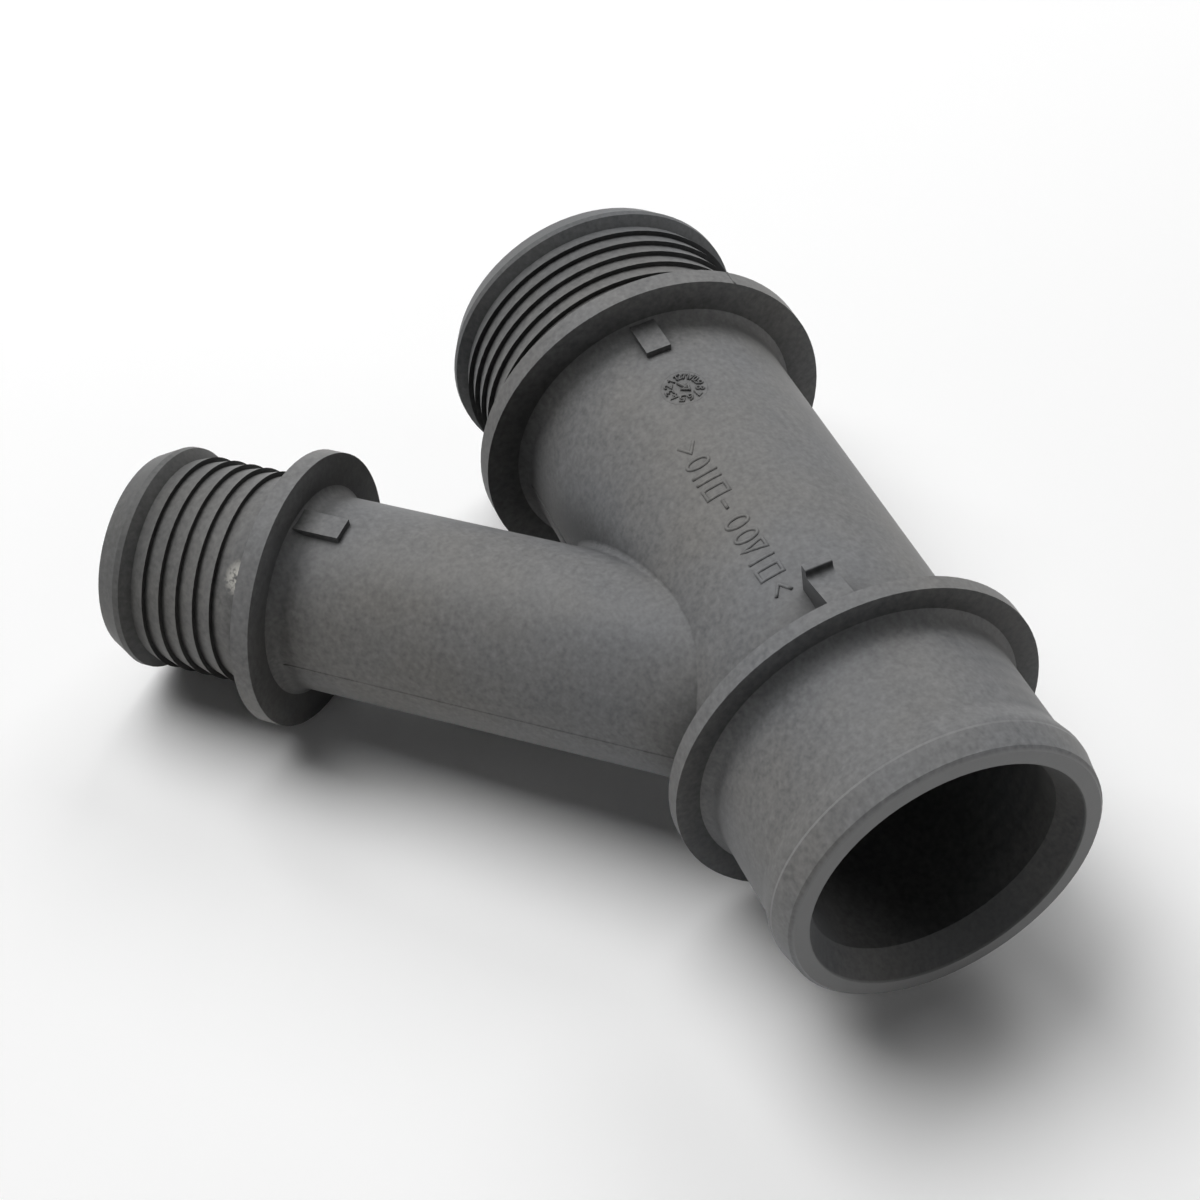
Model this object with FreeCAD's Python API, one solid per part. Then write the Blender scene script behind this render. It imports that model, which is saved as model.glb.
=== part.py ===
"""Radiator hose connector: one moulded Y fitting with a smooth spigot and two barbed ones, in millimetres.

The origin is the centre of the smooth spigot's mouth. +X runs along the main line into the fitting,
the branch leaves it towards +X and +Y, and +Z is up with the fitting lying on the rims of its flanges.
"""
import FreeCAD, Part
import math
import os

Vector = FreeCAD.Vector

# Main tube between its two stop flanges
tube_radius = 17.8
tube_length = 55.7
bore_radius = 15.1
flange_radius = 23.0
front_flange_thickness = 2.0
rear_flange_thickness = 2.5

# Smooth spigot, for a clamped hose of 38 mm bore
smooth_length = 21.0
barrel_radius = 19.0
bead_height = 0.8
bead_land = 0.8
bead_ramp = 3.1
mouth_edge_chamfer = 0.5
mouth_nose_length = 3.0
mouth_nose_drop = 0.6
mouth_flare_depth = 3.5
mouth_flare_rise = 1.8

# Branch tube, measured along its own centre line from where it meets the main one
branch_angle = 45.0
branch_station = 26.1
branch_reach = 67.4
branch_tube_radius = 12.0
branch_bore_radius = 9.5
branch_flange_radius = 17.1
branch_flange_thickness = 2.3

# Barbed spigots
main_barb_radius = 19.2
branch_barb_radius = 13.35
barb_count = 5
barb_pitch = 2.3
barb_height = 0.65
barb_land = 2.8
valley_run = 1.9
end_bead_height = 0.6
end_bead_rise = 1.0
end_bead_land = 0.8
tip_nose_length = 2.8
tip_nose_drop = 1.4

# Hollow-curved roots of the flanges
root_reach = 2.0
root_rise = 1.1

# Crease where the tubes meet, deepest in the crotch and sharpest at the heel
crotch_fillet = 1.0
heel_fillet = 0.3

# Index pads on the crown of both tubes, each ending at its flange
pad_width = 3.2
pad_height = 0.75
main_pad_length = 5.5
branch_pad_length = 6.1

# Clip lug behind the front flange, with a notch in front of its lip
lug_width = 3.3
lug_length = 7.3
lug_height = 4.2
lug_lip_height = 4.0
lug_lip_thickness = 1.1
lug_lip_blend = 0.2
notch_floor_height = 2.9
notch_wall_run = 0.15
notch_blend = 0.7

# Stations along the main line and the branch line
tube_start = smooth_length + front_flange_thickness
rear_flange_start = tube_start + tube_length
rear_seat = rear_flange_start + rear_flange_thickness
branch_seat = branch_reach + branch_flange_thickness
barbed_length = (
    barb_land + barb_count * barb_pitch + valley_run + end_bead_rise + end_bead_land + tip_nose_length
)
main_end = rear_seat + barbed_length
branch_end = branch_seat + barbed_length

origin = Vector(0, 0, 0)
along_main = Vector(1, 0, 0)
upward = Vector(0, 0, 1)
branch_start = Vector(branch_station, 0, 0)


def blended_path(corners):
    """Edges through (x, height, blend) corners in the XY plane, each blend being the reach of its curve."""
    points = [Vector(x, height, 0) for x, height, _ in corners]
    blends = [blend for _, _, blend in corners]
    edges = []
    pen = points[0]
    for index in range(1, len(points) - 1):
        here = points[index]
        back = points[index - 1] - here
        ahead = points[index + 1] - here
        room_back = back.Length / 2 if blends[index - 1] else back.Length
        room_ahead = ahead.Length / 2 if blends[index + 1] else ahead.Length
        reach = min(blends[index], room_back, room_ahead)
        curve_start = here + back.normalize() * reach
        curve_end = here + ahead.normalize() * reach
        if pen.distanceToPoint(curve_start) > 1e-6:
            edges.append(Part.makeLine(pen, curve_start))
        if reach:
            curve = Part.BezierCurve()
            curve.setPoles([curve_start, here, curve_end])
            edges.append(curve.toShape())
        pen = curve_end
    edges.append(Part.makeLine(pen, points[-1]))
    return edges


def turned(outline):
    """Solid of revolution about X under an outline of (x, radius, blend) corners."""
    first_x = outline[0][0]
    last_x = outline[-1][0]
    edges = blended_path([(first_x, 0, 0)] + outline + [(last_x, 0, 0)])
    edges.append(Part.makeLine(Vector(last_x, 0, 0), Vector(first_x, 0, 0)))
    return Part.Face(Part.Wire(edges)).revolve(origin, along_main, 360)


def on_branch(shape):
    """The shape moved from the X axis on to the branch line."""
    return shape.rotated(origin, upward, branch_angle).translated(branch_start)


def smooth_spigot():
    """Outline of the smooth spigot, from its mouth over the bead to its barrel."""
    bead_radius = barrel_radius + bead_height
    nose_radius = bead_radius - mouth_nose_drop
    nose_end = mouth_edge_chamfer + mouth_nose_length
    bead_end = nose_end + bead_land
    return [
        (0, nose_radius - mouth_edge_chamfer, 0),
        (mouth_edge_chamfer, nose_radius, 0),
        (nose_end, bead_radius, 0),
        (bead_end, bead_radius, 0),
        (bead_end + bead_ramp, barrel_radius, 0),
    ]


def flange_root(face, neck_radius):
    """Outline of the hollow curve that swells from a neck to a flange face."""
    blend = (root_reach ** 2 + root_rise ** 2) / (2 * root_reach)
    return [(face - root_reach + blend, neck_radius, blend), (face, neck_radius + root_rise, 0)]


def flange(face, radius, thickness, next_radius):
    """Outline of a stop flange, down to the neck behind it."""
    back = face + thickness
    return [(face, radius, 0), (back, radius, 0), (back, next_radius, 0)]


def barbed_spigot(seat, crest_radius):
    """Outline of a barbed spigot: land, barbs that slope towards the tip, end bead and nose."""
    root_radius = crest_radius - barb_height
    bead_radius = crest_radius + end_bead_height
    crest = seat + barb_land
    outline = [(crest, crest_radius, 0)]
    for _ in range(barb_count):
        crest += barb_pitch
        outline += [(crest, root_radius, 0), (crest, crest_radius, 0)]
    valley = crest + valley_run
    bead = valley + end_bead_rise
    nose = bead + end_bead_land
    return outline + [
        (valley, root_radius, 0),
        (bead, bead_radius, 0),
        (nose, bead_radius, 0),
        (nose + tip_nose_length, bead_radius - tip_nose_drop, 0),
    ]


def main_form():
    """Outer form of the main line, mouth to tip, without its bore."""
    return turned(
        smooth_spigot()
        + flange_root(smooth_length, barrel_radius)
        + flange(smooth_length, flange_radius, front_flange_thickness, tube_radius)
        + flange_root(rear_flange_start, tube_radius)
        + flange(rear_flange_start, flange_radius, rear_flange_thickness, main_barb_radius)
        + barbed_spigot(rear_seat, main_barb_radius)
    )


def branch_form():
    """Outer form of the branch, from inside the main tube to its tip, without its bore."""
    return on_branch(turned(
        [(0, branch_tube_radius, 0)]
        + flange_root(branch_reach, branch_tube_radius)
        + flange(branch_reach, branch_flange_radius, branch_flange_thickness, branch_barb_radius)
        + barbed_spigot(branch_seat, branch_barb_radius)
    ))


def is_crease(edge):
    """Whether an edge lies on the skin of both tubes."""
    middle = edge.valueAt((edge.FirstParameter + edge.LastParameter) / 2)
    branch_line = on_branch(Part.makeLine(origin, along_main * branch_end))
    from_main = middle.distanceToLine(origin, along_main)
    from_branch = branch_line.distToShape(Part.Vertex(middle))[0]
    return abs(from_main - tube_radius) < 0.01 and abs(from_branch - branch_tube_radius) < 0.01


def filleted_tubes():
    """The plain tubes with their crease fillet, which is made on the upper mould half and mirrored."""
    main_tube = turned([(tube_start, tube_radius, 0), (rear_flange_start, tube_radius, 0)])
    branch_tube = on_branch(turned([(0, branch_tube_radius, 0), (branch_reach, branch_tube_radius, 0)]))
    tubes = main_tube.fuse(branch_tube)
    box = tubes.BoundBox
    upper_room = Part.makeBox(box.XLength, box.YLength, box.ZMax, Vector(box.XMin, box.YMin, 0))
    upper = tubes.common(upper_room)
    creases = [edge for edge in upper.Edges if is_crease(edge)]
    upper = upper.makeFillet(heel_fillet, crotch_fillet, creases)
    return upper.fuse(upper.mirror(origin, upward)).removeSplitter()


def joined_lines():
    """Both lines as one form, with the crease fillet between their tubes."""
    return main_form().fuse([branch_form(), filleted_tubes()]).removeSplitter()


def index_pad(flange_face, length, neck_radius):
    """Flat-topped pad on the crown of a tube, ending at a flange."""
    corner = Vector(flange_face - length, -pad_width / 2, 0)
    return Part.makeBox(length, pad_width, neck_radius + pad_height, corner)


def clip_lug():
    """Lug behind the front flange: a falling top, a notch with a hollow corner and an upright lip."""
    end = tube_start + lug_length
    lip_start = end - lug_lip_thickness
    lip_top = tube_radius + lug_lip_height
    edges = blended_path([
        (tube_start, 0, 0),
        (tube_start, tube_radius + lug_height, 0),
        (lip_start - notch_wall_run, tube_radius + notch_floor_height, notch_blend),
        (lip_start, lip_top, lug_lip_blend),
        (end, lip_top, lug_lip_blend),
        (end, 0, 0),
    ])
    edges.append(Part.makeLine(Vector(end, 0, 0), Vector(tube_start, 0, 0)))
    side = Part.Face(Part.Wire(edges)).rotated(origin, along_main, 90)
    return side.translated(Vector(0, lug_width / 2, 0)).extrude(Vector(0, -lug_width, 0))


def bores():
    """Water way of both lines, with the flared mouth."""
    main_bore = turned([
        (0, bore_radius + mouth_flare_rise, 0),
        (mouth_flare_depth, bore_radius, 0),
        (main_end, bore_radius, 0),
    ])
    branch_bore = turned([(0, branch_bore_radius, 0), (branch_end, branch_bore_radius, 0)])
    return [main_bore, on_branch(branch_bore)]


def resting_tilt():
    """Turn about the main line, in degrees, that brings all three flange rims down to one floor."""
    rim_corner = math.hypot(branch_seat, branch_flange_radius)
    branch_dip = math.asin(flange_radius / rim_corner) - math.atan2(branch_flange_radius, branch_seat)
    return math.degrees(math.asin(math.sin(branch_dip) / math.sin(math.radians(branch_angle))))


def connector():
    """The whole moulding, lying on its flanges."""
    raised_marks = [
        index_pad(rear_flange_start, main_pad_length, tube_radius),
        on_branch(index_pad(branch_reach, branch_pad_length, branch_tube_radius)),
        clip_lug(),
    ]
    moulding = joined_lines().fuse(raised_marks).cut(bores()).removeSplitter()
    return moulding.Solids[0].rotated(origin, along_main, -resting_tilt())


os.makedirs("parts", exist_ok=True)
connector().exportStep("parts/connector_body.step")
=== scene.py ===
"""Radiator hose connector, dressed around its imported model.

The fitting keeps its CAD form. It gets its moulded nylon and the marks that its mould left on it, and it
lies on a pale floor under soft boxes, in front of a camera at the photograph's angle.
"""
import math

import bmesh
import bpy
from mathutils import Euler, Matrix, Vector


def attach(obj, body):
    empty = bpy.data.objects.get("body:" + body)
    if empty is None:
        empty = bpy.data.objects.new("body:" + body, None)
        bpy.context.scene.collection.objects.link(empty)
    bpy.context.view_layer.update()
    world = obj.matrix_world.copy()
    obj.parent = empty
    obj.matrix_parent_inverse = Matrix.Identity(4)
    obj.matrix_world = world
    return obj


MM = 0.001

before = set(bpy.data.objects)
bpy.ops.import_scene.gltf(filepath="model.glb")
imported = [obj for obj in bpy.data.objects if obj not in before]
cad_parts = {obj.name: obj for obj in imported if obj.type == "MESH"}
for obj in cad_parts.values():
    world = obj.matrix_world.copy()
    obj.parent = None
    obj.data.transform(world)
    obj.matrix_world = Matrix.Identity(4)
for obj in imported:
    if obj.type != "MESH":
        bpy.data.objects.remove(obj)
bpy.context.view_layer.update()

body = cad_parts["connector_body"]

# The fitting lies tilted about X, on the rims of its flanges
REST_TILT = math.radians(6.9488)
FLOOR_HEIGHT = -23.0 * MM

# Sizes of the fitting that its marks and its skin follow, in millimetres
MAIN_RADIUS = 17.8
BRANCH_RADIUS = 12.0
BRANCH_LAND_RADIUS = 13.35
BRANCH_START = 26.1
BRANCH_ANGLE = math.radians(45)
FLANGE_RADIUS = 23.0
BEAD_CREST = 3.5


# ---- Places on the fitting ----

def lying(point):
    """A point of the upright fitting, in millimetres, in the frame in which it lies, in metres."""
    x, y, z = point
    return Vector((
        x,
        y * math.cos(REST_TILT) + z * math.sin(REST_TILT),
        z * math.cos(REST_TILT) - y * math.sin(REST_TILT),
    )) * MM


def on_main(along, around, height, radius=MAIN_RADIUS):
    """The point at a station, an arc length from the main tube's crown towards the branch, and a height."""
    turn = around / radius
    reach = radius + height
    return lying((along, reach * math.sin(turn), reach * math.cos(turn)))


def on_rear_flange(along, around, height):
    """The same over the rim of the rear flange."""
    return on_main(along, around, height, FLANGE_RADIUS)


def on_branch(along, around, height, radius=BRANCH_RADIUS):
    """The same over the branch tube, the arc length going towards the mouth's side of it."""
    turn = around / radius
    reach = radius + height
    side = reach * math.sin(turn)
    return lying((
        BRANCH_START + along * math.cos(BRANCH_ANGLE) - side * math.sin(BRANCH_ANGLE),
        along * math.sin(BRANCH_ANGLE) + side * math.cos(BRANCH_ANGLE),
        reach * math.cos(turn),
    ))


MAIN_WAY = Vector((1.0, 0.0, 0.0))
BRANCH_WAY = lying((math.cos(BRANCH_ANGLE), math.sin(BRANCH_ANGLE), 0.0)).normalized()


# ---- Materials ----

class Shading:
    """The nodes of one material or world."""

    def __init__(self, owner):
        owner.use_nodes = True
        self.tree = owner.node_tree

    def feed(self, socket, value):
        """Link another node's output to a socket, or set the socket to a number, a vector or a colour."""
        if isinstance(value, bpy.types.NodeSocket):
            self.tree.links.new(value, socket)
        elif socket.type == "RGBA":
            socket.default_value = (*value, 1.0)
        else:
            socket.default_value = value

    def add(self, kind, sockets, **settings):
        """A new node with its settings, and with its sockets fed by name or number."""
        node = self.tree.nodes.new(kind)
        for name, value in settings.items():
            setattr(node, name, value)
        for key, value in sockets.items():
            self.feed(node.inputs[key], value)
        return node

    def number(self, operation, *values):
        """A sum, product or other number made of numbers."""
        node = self.add("ShaderNodeMath", dict(enumerate(values)), operation=operation)
        return node.outputs["Value"]

    def measure(self, operation, *vectors):
        """A length, distance or other number made of vectors."""
        node = self.add("ShaderNodeVectorMath", dict(enumerate(vectors)), operation=operation)
        return node.outputs["Value"]

    def share(self, source, run, low=0.0, high=1.0):
        """A number that goes from low to high while the source goes through its run."""
        sockets = {"Value": source, "From Min": run[0], "From Max": run[1], "To Min": low, "To Max": high}
        return self.add("ShaderNodeMapRange", sockets).outputs["Result"]

    def fade(self, source, run, low=0.0, high=1.0):
        """A share whose run is in millimetres, for a source in metres."""
        return self.share(source, [edge * MM for edge in run], low, high)

    def ramp(self, source, run, first, second):
        """A colour that goes from first to second while the source goes through its run."""
        node = self.add("ShaderNodeValToRGB", {"Fac": source})
        for element, position, colour in zip(node.color_ramp.elements, run, (first, second)):
            element.position = position
            element.color = (*colour, 1.0)
        return node.outputs["Color"]

    def noise(self, place, grain):
        """Noise of a grain, which is its lumps per metre and its detail."""
        sockets = {"Vector": place, "Scale": grain[0], "Detail": grain[1], "Roughness": 0.55}
        return self.add("ShaderNodeTexNoise", sockets).outputs["Fac"]

    def mixed(self, first, second, share):
        """Two numbers mixed, with the share that the second has."""
        return self.add("ShaderNodeMix", {"Factor": share, "A": first, "B": second}).outputs["Result"]

    def blended(self, kind, share, first, second):
        """Two colours blended, with the share that the second has."""
        sockets = {"Factor": share, 6: first, 7: second}
        return self.add("ShaderNodeMix", sockets, data_type="RGBA", blend_type=kind).outputs[2]

    def seen_directly(self):
        """One for a ray from the camera, a reflection or glass, and nought for bounced light."""
        rays = self.add("ShaderNodeLightPath", {}).outputs
        mirrored = self.number("MAXIMUM", rays["Is Camera Ray"], rays["Is Glossy Ray"])
        return self.number("MAXIMUM", mirrored, rays["Is Transmission Ray"])


# Noise in the nylon, as lumps per metre and detail
HANDLING = (38.0, 3.0)
CLOUDS = (300.0, 2.0)
MOTTLE = (1300.0, 1.0)
FLECKS = (1500.0, 3.0)
GRAIN = (2700.0, 2.0)

# How the noises are mixed, and the run of each that its layer uses
MOTTLE_IN_FLOW = 0.78
GRAIN_IN_FLOW = 0.24
MOTTLE_IN_PITS = 0.4
NOISE_SPREAD = (0.3, 0.7)
WARMTH_RUN = (0.4, 0.75)
WARMTH_ON_BRANCH = 0.18
CREST_HIGHLIGHT_RUN = (0.35, 0.6)
CREST_HIGHLIGHT_STRENGTH = (0.05, 0.42)
FLECK_RUN = (0.38, 0.52)

# Colours of the nylon, and painted light on its mouth face and crest; tints and shades that its colour is
# multiplied by, most of the shades painted shade; and its finish
DARK_FLOW = (0.126, 0.127, 0.128)
PALE_FLOW = (0.208, 0.209, 0.210)
MOUTH_PAINTED_LIGHT = (0.235, 0.236, 0.236)
CREST_PAINTED_HIGHLIGHT = (0.36, 0.36, 0.36)
SCUFFED = (0.78, 0.76, 0.7)
COOL_SHADE = (0.988, 1.0, 1.022)
WARM_SHADE = (1.03, 1.0, 0.95)
TIP_PAINTED_SHADE = (0.65, 0.66, 0.67)
SQUARE_PAINTED_SHADE = (0.83, 0.83, 0.83)
RIPPLE_AND_PAINTED_SHADE = (0.76, 0.77, 0.79)
BORE_PAINTED_SHADE = (0.62, 0.62, 0.62)
HOLLOW_PAINTED_SHADE = (0.4, 0.4, 0.4)
NO_SHADE = (1.0, 1.0, 1.0)
ROUGHNESS = (0.44, 0.58)
GLOSS = 0.15
PIT_STRENGTH = 0.5
PIT_DEPTH = 0.04

# Where the skin changes, in millimetres: along a line, across it, or away from its axis
MAIN_TIP = (83.0, 99.0)
BRANCH_TIP = (72.0, 88.0)
BRANCH_SIDE = (15.0, 60.0)
FAR_SIDE = (-4.5, -12.0)
RIPPLES_START = (5.5, 7.5)
RIPPLES_END = (18.0, 21.0)
RIPPLE_HALF = 1.1
BORE_SKIN = (16.9, 17.1)
MOUTH_LIGHT_DEPTH = (0.05, 0.3)
CREST_HALF_WIDTH = 0.13
CREST_SKIN = (18.3, 18.7)
SCUFF_EDGE = (0.8, 2.6)
HOLLOW_REACH = 9.0

# How strong a layer is at its weakest and strongest, how square a face is, and how open a hollow
RIPPLE_STRENGTH = (0.45, 1.0)
MOUTH_LIGHT_STRENGTH = 0.8
SQUARENESS = (0.93, 0.99)
OPENNESS = (0.55, 0.92)

# On the branch spigot's land, on the side towards the mouth
SCUFF_PLACE = on_branch(70.9, 9.4, 0.0, BRANCH_LAND_RADIUS)


class Skin(Shading):
    """The nodes of the fitting's own material, with layers of colour that follow places on the fitting."""

    def __init__(self, owner):
        super().__init__(owner)
        coordinates = self.add("ShaderNodeTexCoord", {})
        self.place = coordinates.outputs["Object"]
        self.facing = coordinates.outputs["Normal"]
        split = self.add("ShaderNodeSeparateXYZ", {"Vector": self.place})
        self.station = split.outputs["X"]
        self.side = split.outputs["Y"]
        across = self.add("ShaderNodeCombineXYZ", {"Y": self.side, "Z": split.outputs["Z"]})
        self.off_axis = self.measure("LENGTH", across.outputs["Vector"])
        self.handling = self.noise(self.place, HANDLING)
        self.mottle = self.noise(self.place, MOTTLE)
        self.grain = self.noise(self.place, GRAIN)

    def flow(self):
        """Clouds and mottling from the flow of the melt, with a warmer tint where it is handled."""
        clouded = self.mixed(self.noise(self.place, CLOUDS), self.mottle, MOTTLE_IN_FLOW)
        tone = self.ramp(self.mixed(clouded, self.grain, GRAIN_IN_FLOW), NOISE_SPREAD, DARK_FLOW, PALE_FLOW)
        warmth = self.number("ADD", self.handling, self.fade(self.side, BRANCH_SIDE, 0.0, WARMTH_ON_BRANCH))
        return self.blended("MULTIPLY", 1.0, tone, self.ramp(warmth, WARMTH_RUN, COOL_SHADE, WARM_SHADE))

    def barbed_tips(self, tone):
        """Painted shade: the barbed spigots darken towards their tips."""
        branch_tip = [BRANCH_WAY.dot(on_branch(along, 0.0, 0.0)) for along in BRANCH_TIP]
        on_main_tip = self.fade(self.measure("DOT_PRODUCT", self.place, MAIN_WAY), MAIN_TIP)
        on_branch_tip = self.share(self.measure("DOT_PRODUCT", self.place, BRANCH_WAY), branch_tip)
        on_tip = self.number("MAXIMUM", on_main_tip, on_branch_tip)
        return self.blended("MULTIPLY", on_tip, tone, TIP_PAINTED_SHADE)

    def square_faces(self, tone):
        """Painted shade on faces square to the main line or the branch line, which are darker."""
        turned = [self.measure("DOT_PRODUCT", self.facing, way) for way in (MAIN_WAY, BRANCH_WAY)]
        square = [self.share(self.number("ABSOLUTE", along), SQUARENESS) for along in turned]
        return self.blended("MULTIPLY", self.number("MAXIMUM", *square), tone, SQUARE_PAINTED_SHADE)

    def ripples(self, tone):
        """Faint ripples run round the barrel, on the side away from the branch, with painted shade over that
        whole side of the barrel.
        """
        wave = self.number("PINGPONG", self.station, RIPPLE_HALF * MM)
        # Even between ripples the zone is darkened at the weakest strength: painted shade over that side of
        # the barrel
        rippled_and_shaded = self.fade(wave, (0.0, RIPPLE_HALF), *RIPPLE_STRENGTH)
        for limit in (
            self.fade(self.side, FAR_SIDE),
            self.fade(self.station, RIPPLES_START),
            self.fade(self.station, RIPPLES_END, 1.0, 0.0),
        ):
            rippled_and_shaded = self.number("MULTIPLY", rippled_and_shaded, limit)
        return self.blended("MULTIPLY", rippled_and_shaded, tone, RIPPLE_AND_PAINTED_SHADE)

    def main_bore(self, tone):
        """Painted shade in the main bore and its flare, which are darker than the outside."""
        return self.blended("MULTIPLY", self.fade(self.off_axis, BORE_SKIN, 1.0, 0.0), tone, BORE_PAINTED_SHADE)

    def trimmed_mouth(self, tone):
        """Painted light on the mouth's face, which is paler than the moulded skin."""
        lit_face = self.fade(self.station, MOUTH_LIGHT_DEPTH, MOUTH_LIGHT_STRENGTH, 0.0)
        return self.blended("MIX", lit_face, tone, MOUTH_PAINTED_LIGHT)

    def rubbed_crest(self, tone):
        """Painted highlight along the crest between the mouth's nose and its bead, here more and there less.
        """
        highlight = self.number("COMPARE", self.station, BEAD_CREST * MM, CREST_HALF_WIDTH * MM)
        for limit in (self.share(self.handling, CREST_HIGHLIGHT_RUN, *CREST_HIGHLIGHT_STRENGTH), self.fade(self.off_axis, CREST_SKIN)):
            highlight = self.number("MULTIPLY", highlight, limit)
        return self.blended("MIX", highlight, tone, CREST_PAINTED_HIGHLIGHT)

    def scuffs(self, tone):
        """Light scuffs on the branch spigot's land, in a small patch."""
        near = self.fade(self.measure("DISTANCE", self.place, SCUFF_PLACE), SCUFF_EDGE, 1.0, 0.0)
        flecks = self.share(self.noise(self.place, FLECKS), FLECK_RUN)
        return self.blended("MIX", self.number("MULTIPLY", near, flecks), tone, SCUFFED)

    def hollows(self, tone):
        """Painted shade in corners and hollows, darker the more closed in they are."""
        nearby = self.add("ShaderNodeAmbientOcclusion", {"Distance": HOLLOW_REACH * MM}, samples=8)
        shade = self.ramp(nearby.outputs["AO"], OPENNESS, HOLLOW_PAINTED_SHADE, NO_SHADE)
        return self.blended("MULTIPLY", 1.0, tone, shade)


def moulded_nylon():
    """Dark glass-filled nylon: clouded and mottled by its flow, finely pitted, scuffed in places, with
    painted shade in its hollows, bore, tips and square faces and painted light on its mouth face and crest.
    """
    material = bpy.data.materials.new("moulded_nylon")
    skin = Skin(material)
    shader = skin.tree.nodes["Principled BSDF"]
    tone = skin.flow()
    for layer in (
        skin.barbed_tips, skin.square_faces, skin.ripples, skin.main_bore,
        skin.trimmed_mouth, skin.rubbed_crest, skin.scuffs, skin.hollows,
    ):
        tone = layer(tone)
    skin.feed(shader.inputs["Base Color"], tone)
    skin.feed(shader.inputs["Roughness"], skin.share(skin.mottle, NOISE_SPREAD, *ROUGHNESS))
    skin.feed(shader.inputs["Specular IOR Level"], GLOSS)
    relief = skin.mixed(skin.grain, skin.mottle, MOTTLE_IN_PITS)
    sockets = {"Strength": PIT_STRENGTH, "Distance": PIT_DEPTH * MM, "Height": relief}
    pits = skin.add("ShaderNodeBump", sockets)
    skin.feed(shader.inputs["Normal"], pits.outputs["Normal"])
    return material


nylon = moulded_nylon()


# ---- The fitting: softened edges, and shading that follows its large faces ----

EDGE_ROUND = 0.24
SHARP_EDGE = math.radians(22)

body.data.materials.clear()
body.data.materials.append(nylon)
weld = body.modifiers.new("weld", "WELD")
weld.merge_threshold = 1e-6
rounding = body.modifiers.new("rounding", "BEVEL")
rounding.width = EDGE_ROUND * MM
rounding.segments = 2
rounding.limit_method = "ANGLE"
rounding.angle_limit = SHARP_EDGE
rounding.miter_outer = "MITER_ARC"
shading = body.modifiers.new("shading", "WEIGHTED_NORMAL")
shading.mode = "FACE_AREA"
shading.weight = 90


# ---- Raised marks, drawn as strokes over a tube's skin, in millimetres ----

# A stroke's width and height
DIAL_RING_LINE = (0.16, 0.02)
NUMERAL_LINE = (0.27, 0.2)
SIGN_LINE = (0.5, 0.16)
PARTING_RIDGE = (0.34, 0.1)
TRIM_TICK = (0.34, 0.12)
ARROW_HEIGHT = 0.34

# Its section from side to side, as shares of its width and its height
STROKE_PROFILE = (
    (0.5, 0.0), (0.38, 0.5), (0.18, 0.93), (0.0, 1.0), (-0.18, 0.93), (-0.38, 0.5), (-0.5, 0.0),
)

# How deep it is rooted, how far its ends run on as a share of its width, its longest straight run over
# a round surface, and the limits of its mitred corners
STROKE_SINK = 0.05
STROKE_OVERRUN = 0.4
LONGEST_RUN = 0.5
LONGEST_MITRE = 1.6
SHARPEST_TURN = 0.3


def finely(path, closed):
    """The path with points added so that no run is long, to follow a round surface."""
    ends = path[1:] + path[:1] if closed else path[1:]
    fine = []
    for start, end in zip(path, ends):
        count = max(1, math.ceil(math.dist(start, end) / LONGEST_RUN))
        fine += [
            (start[0] + (end[0] - start[0]) * part / count, start[1] + (end[1] - start[1]) * part / count)
            for part in range(count)
        ]
    return fine if closed else fine + [path[-1]]


def stroke(shape, path, place, width, height, closed=False):
    """A raised moulded line with a rounded top, along a flat path of (along, around) points."""
    points = finely(path, closed)
    last = len(points) - 1
    section = [(-offset, level * (height + STROKE_SINK) - STROKE_SINK) for offset, level in STROKE_PROFILE]
    rings = []
    for index, point in enumerate(points):
        here = Vector(point)
        before = Vector(points[index - 1] if index or closed else point)
        after = Vector(points[(index + 1) % len(points)] if index < last or closed else point)
        run_in = (here - before).normalized() if before != here else (after - here).normalized()
        run_out = (after - here).normalized() if after != here else run_in
        along = (run_in + run_out).normalized()
        across = Vector((-along.y, along.x))
        mitre = min(LONGEST_MITRE, 1 / max(SHARPEST_TURN, along.dot(run_out)))
        overrun = 0.0
        if not closed and index == last:
            overrun = STROKE_OVERRUN * width
        elif not closed and index == 0:
            overrun = -STROKE_OVERRUN * width
        rings.append([
            shape.verts.new(place(*(here + along * overrun + across * offset * width * mitre), level))
            for offset, level in section
        ])
    pairs = list(zip(rings, rings[1:]))
    if closed:
        pairs.append((rings[-1], rings[0]))
    for first, second in pairs:
        for index in range(len(section)):
            follow = (index + 1) % len(section)
            shape.faces.new((first[index], first[follow], second[follow], second[index]))
    if not closed:
        shape.faces.new(reversed(rings[0]))
        shape.faces.new(rings[-1])


def oval(centre, half_width, half_height, count):
    """A closed oval of points."""
    turns = [step * math.tau / count for step in range(count)]
    return [
        (centre[0] + half_width * math.cos(turn), centre[1] + half_height * math.sin(turn)) for turn in turns
    ]


def piece_of(name, shape):
    """A smooth piece of the fitting from a bmesh, in the same nylon."""
    bmesh.ops.recalc_face_normals(shape, faces=shape.faces)
    for face in shape.faces:
        face.smooth = True
    mesh = bpy.data.meshes.new(name)
    shape.to_mesh(mesh)
    shape.free()
    piece = bpy.data.objects.new(name, mesh)
    bpy.context.scene.collection.objects.link(piece)
    mesh.materials.append(nylon)
    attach(piece, "root")


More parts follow.
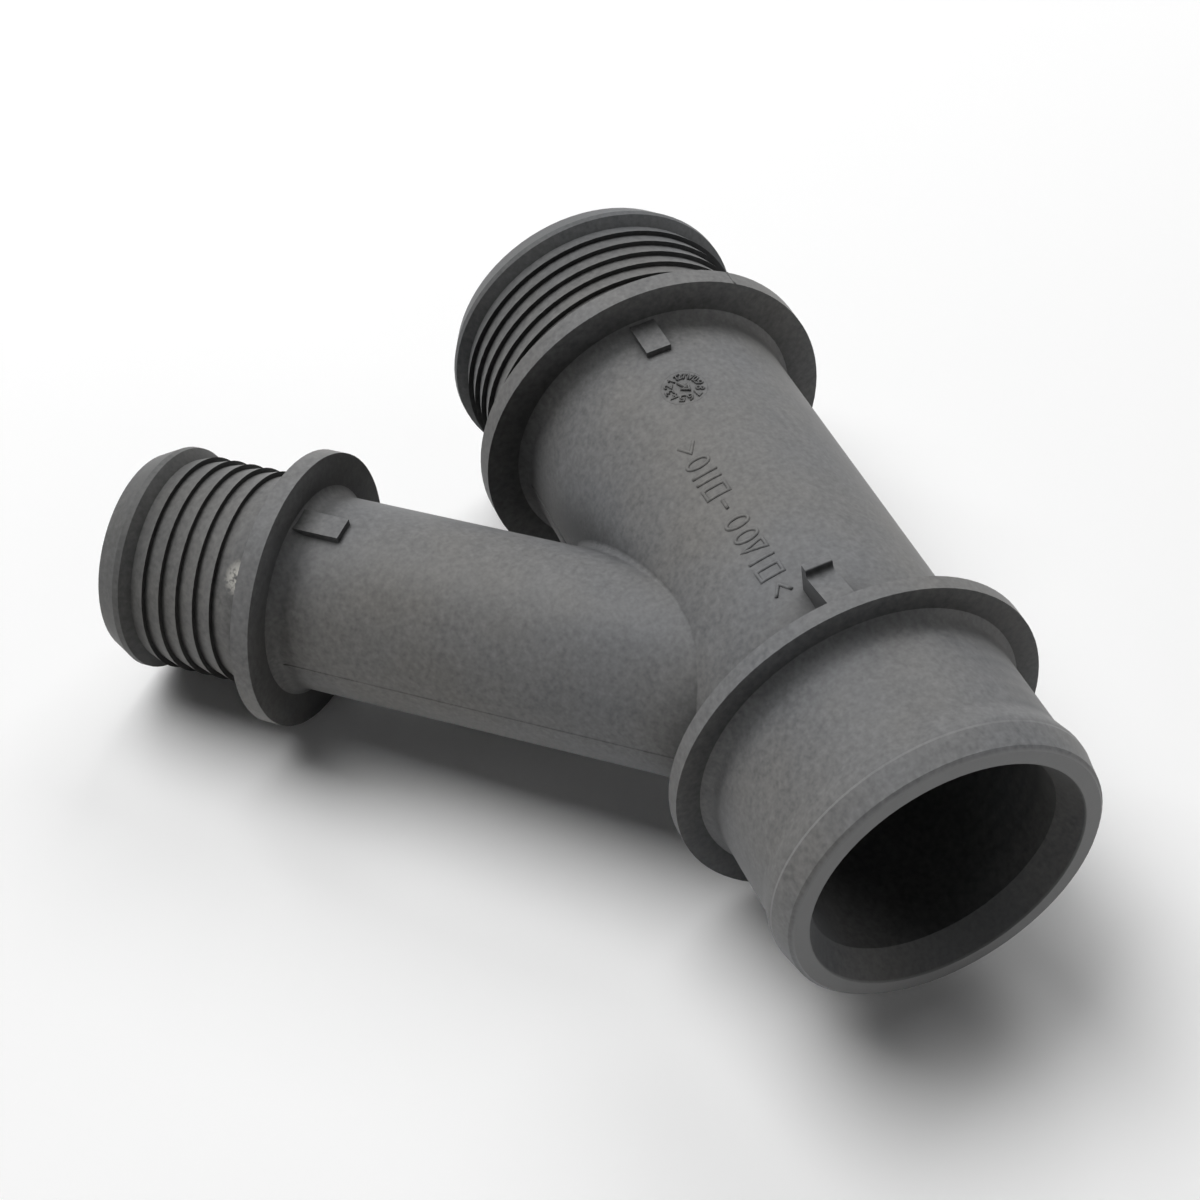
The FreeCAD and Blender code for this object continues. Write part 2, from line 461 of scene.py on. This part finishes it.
# Numerals as pen strokes, on a field half as wide as it is tall
DIGITS = {
    "0": [
        (0.12, 0), (0, 0.15), (0, 0.75), (0.12, 0.9), (0.38, 0.9), (0.5, 0.75), (0.5, 0.15), (0.38, 0),
        (0.12, 0),
    ],
    "1": [(0.08, 0.68), (0.28, 0.9), (0.28, 0)],
    "2": [(0, 0.74), (0.12, 0.9), (0.38, 0.9), (0.5, 0.76), (0.5, 0.6), (0, 0), (0.5, 0)],
    "3": [(0, 0.9), (0.5, 0.9), (0.22, 0.54), (0.4, 0.5), (0.5, 0.36), (0.5, 0.14), (0.38, 0), (0, 0)],
    "4": [(0.4, 0), (0.4, 0.9), (0, 0.28), (0.52, 0.28)],
    "5": [(0.5, 0.9), (0.04, 0.9), (0, 0.5), (0.38, 0.54), (0.5, 0.4), (0.5, 0.14), (0.38, 0), (0, 0)],
    "6": [
        (0.44, 0.9), (0.14, 0.74), (0, 0.4), (0, 0.14), (0.12, 0), (0.38, 0), (0.5, 0.14), (0.5, 0.36),
        (0.36, 0.5), (0.04, 0.42),
    ],
    "7": [(0, 0.9), (0.5, 0.9), (0.16, 0)],
    "8": [
        (0.25, 0.48), (0.04, 0.62), (0.04, 0.78), (0.14, 0.9), (0.36, 0.9), (0.46, 0.78), (0.46, 0.62),
        (0.25, 0.48), (0, 0.32), (0, 0.12), (0.12, 0), (0.38, 0), (0.5, 0.12), (0.5, 0.32), (0.25, 0.48),
    ],
    "9": [
        (0.06, 0), (0.36, 0.16), (0.5, 0.5), (0.5, 0.76), (0.38, 0.9), (0.12, 0.9), (0, 0.76), (0, 0.54),
        (0.14, 0.4), (0.46, 0.48),
    ],
}
DIGIT_WIDTH = 0.5
DIGIT_GAP = 0.2
TWO_DIGIT_SQUEEZE = 0.72

DIAL_CENTRE = (66.2, -0.15)
DIAL_RING_RADIUS = 2.85
NUMERAL_SIZE = 0.98
NUMERAL_FOOT = 1.5
ARROW_HEADING = math.radians(205)

# The arrow's lines as (forward, across) points, each with its width
ARROW = (
    ([(-0.9, 0), (0.35, 0)], 0.44),
    ([(0.1, -0.5), (0.85, 0), (0.1, 0.5)], 0.38),
    ([(0.2, -0.25), (0.2, 0.25)], 0.44),
)


def numeral(text, turn):
    """The strokes of a number on the dial, which stands outward at a turn."""
    outward = Vector((math.cos(turn), math.sin(turn)))
    rightward = Vector((outward.y, -outward.x))
    squeeze = 1.0 if len(text) == 1 else TWO_DIGIT_SQUEEZE
    width = len(text) * DIGIT_WIDTH * squeeze + (len(text) - 1) * DIGIT_GAP * squeeze
    for order, digit in enumerate(text):
        start = order * (DIGIT_WIDTH + DIGIT_GAP) * squeeze - width / 2
        spots = [
            Vector(DIAL_CENTRE)
            + outward * (NUMERAL_FOOT + up * NUMERAL_SIZE)
            + rightward * ((start + across * squeeze) * NUMERAL_SIZE)
            for across, up in DIGITS[digit]
        ]
        yield [tuple(spot) for spot in spots]


def date_clock():
    """The mould's date insert on the crown: twelve numerals round a bold arrow, inside a faint ring."""
    shape = bmesh.new()
    ring = oval(DIAL_CENTRE, DIAL_RING_RADIUS, DIAL_RING_RADIUS, 48)
    stroke(shape, ring, on_main, *DIAL_RING_LINE, closed=True)
    for hour in range(12):
        for path in numeral(str(hour or 12), math.radians(hour * 30)):
            stroke(shape, path, on_main, *NUMERAL_LINE)
    ahead = Vector((math.cos(ARROW_HEADING), math.sin(ARROW_HEADING)))
    beside = Vector((-ahead.y, ahead.x))
    for path, width in ARROW:
        spots = [Vector(DIAL_CENTRE) + ahead * forward + beside * across for forward, across in path]
        stroke(shape, [tuple(spot) for spot in spots], on_main, width, ARROW_HEIGHT)
    piece_of("date_clock", shape)


def mould_marks():
    """A row of plain raised signs beside the crown, between two chevrons."""
    low, high = 2.25, 5.05
    middle = (low + high) / 2

    def chevron(tail, tip):
        return [(tail, low + 0.5), (tip, middle), (tail, high - 0.5)], False

    def box(start):
        return [(start, low), (start, high), (start + 1.5, high), (start + 1.5, low)], True

    def bar(along):
        return [(along, low), (along, high)], False

    def ring(along):
        return oval((along, middle), 0.7, 1.4, 20), True

    triangle = [(38.3, low), (39.7, low), (39.0, high)], True
    dash = [(46.0, middle), (47.1, middle)], False

    shape = bmesh.new()
    for path, closed in (
        chevron(31.2, 32.6), box(34.0), bar(36.9), triangle, ring(40.9), ring(43.3), dash,
        box(48.3), bar(51.0), bar(52.2), ring(54.1), chevron(57.4, 56.0),
    ):
        stroke(shape, path, on_main, *SIGN_LINE, closed)
    piece_of("mould_marks", shape)


def parting_line():
    """The fine ridge where the mould's halves met, along the sides of both tubes."""
    main_side = math.pi / 2 * MAIN_RADIUS
    branch_side = math.pi / 2 * BRANCH_RADIUS
    shape = bmesh.new()
    for start, end, around, place in (
        (24.4, 77.3, -main_side, on_main),
        (62.3, 77.3, main_side, on_main),
        (13.4, 66.0, branch_side, on_branch),
        (37.6, 66.0, -branch_side, on_branch),
    ):
        stroke(shape, [(start, around), (end, around)], place, *PARTING_RIDGE)
    piece_of("parting_line", shape)


def trim_mark():
    """A short trimmed tick across the rear flange's rim."""
    around = math.radians(-34.2) * FLANGE_RADIUS
    shape = bmesh.new()
    stroke(shape, [(78.9, around), (81.0, around)], on_rear_flange, *TRIM_TICK)
    piece_of("trim_mark", shape)


date_clock()
mould_marks()
parting_line()
trim_mark()


# ---- Floor, lights and camera ----

WHITE = (1.0, 1.0, 1.0)
STAGE_CENTRE = Vector((0.05, 0.02, 0.0))
FLOOR_SIZE = 3.0
FAR_FLOOR = (0.17, 0.45)
LAMP_DISTANCE = 1.2

# The power at which one lamp alone lights a white face turned to it as white
LAMP_POWER = math.pi ** 2 * LAMP_DISTANCE ** 2

# Soft boxes: direction and height in degrees, width and depth in metres, and share of the light
LAMPS = (
    ("overhead_box", 30, 64, 1.0, 0.8, 0.99),
    ("right_box", -45, 42, 0.6, 0.5, 0.24),
    ("front_box", 190, 45, 0.6, 0.4, 0.015),
    ("left_box", 100, 15, 0.6, 0.3, 0.04),
    ("mouth_box", 240, 10, 0.5, 0.3, 0.16),
)


def floor():
    """A plain white floor, which keeps the fitting's shadow and further off is as white as the backdrop."""
    mesh = bpy.data.meshes.new("floor")
    shape = bmesh.new()
    bmesh.ops.create_grid(shape, x_segments=1, y_segments=1, size=FLOOR_SIZE)
    shape.to_mesh(mesh)
    shape.free()
    plane = bpy.data.objects.new("floor", mesh)
    plane.location.z = FLOOR_HEIGHT
    bpy.context.scene.collection.objects.link(plane)

    material = bpy.data.materials.new("floor")
    paint = Shading(material)
    shader = paint.tree.nodes["Principled BSDF"]
    paint.feed(shader.inputs["Base Color"], WHITE)
    paint.feed(shader.inputs["Roughness"], 0.9)
    place = paint.add("ShaderNodeTexCoord", {}).outputs["Object"]
    far = paint.share(paint.measure("DISTANCE", place, STAGE_CENTRE), FAR_FLOOR)
    plain = paint.number("MULTIPLY", far, paint.seen_directly())
    white = paint.add("ShaderNodeEmission", {"Color": WHITE, "Strength": 1.0})
    sockets = {0: plain, 1: shader.outputs["BSDF"], 2: white.outputs["Emission"]}
    surface = paint.add("ShaderNodeMixShader", sockets)
    paint.feed(paint.tree.nodes["Material Output"].inputs["Surface"], surface.outputs["Shader"])
    mesh.materials.append(material)


def soft_box(name, azimuth, elevation, width, depth, share):
    """A rectangular lamp that shines on the fitting from a direction and height, in degrees."""
    turn, lift = math.radians(azimuth), math.radians(elevation)
    away = Vector((math.cos(turn) * math.cos(lift), math.sin(turn) * math.cos(lift), math.sin(lift)))
    lamp = bpy.data.lights.new(name, "AREA")
    lamp.shape = "RECTANGLE"
    lamp.size = width
    lamp.size_y = depth
    lamp.energy = LAMP_POWER * share
    holder = bpy.data.objects.new(name, lamp)
    holder.location = STAGE_CENTRE + away * LAMP_DISTANCE
    holder.rotation_euler = (-away).to_track_quat("-Z", "Y").to_euler()
    bpy.context.scene.collection.objects.link(holder)


def backdrop():
    """A world that is white where it is seen and gives no light."""
    world = bpy.data.worlds.new("room")
    room = Shading(world)
    background = room.tree.nodes["Background"]
    room.feed(background.inputs["Color"], WHITE)
    room.feed(background.inputs["Strength"], room.seen_directly())
    bpy.context.scene.world = world


def photograph_camera():
    """The camera that a fit to the photograph's rims and edges found."""
    camera = bpy.data.cameras.new("camera")
    camera.sensor_width = 36.0
    camera.lens = 74.99
    camera.shift_x = -0.08664
    camera.shift_y = -0.06366
    camera.clip_start = 0.01
    camera.clip_end = 20.0
    viewpoint = bpy.data.objects.new("camera", camera)
    viewpoint.location = (-0.13951, 0.09867, 0.21341)
    viewpoint.rotation_euler = Euler([math.radians(turn) for turn in (46.1457, -1.3828, -114.5761)], "XYZ")
    bpy.context.scene.collection.objects.link(viewpoint)
    bpy.context.scene.camera = viewpoint


floor()
for lamp in LAMPS:
    soft_box(*lamp)
backdrop()
photograph_camera()
bpy.context.scene.view_settings.view_transform = "Standard"
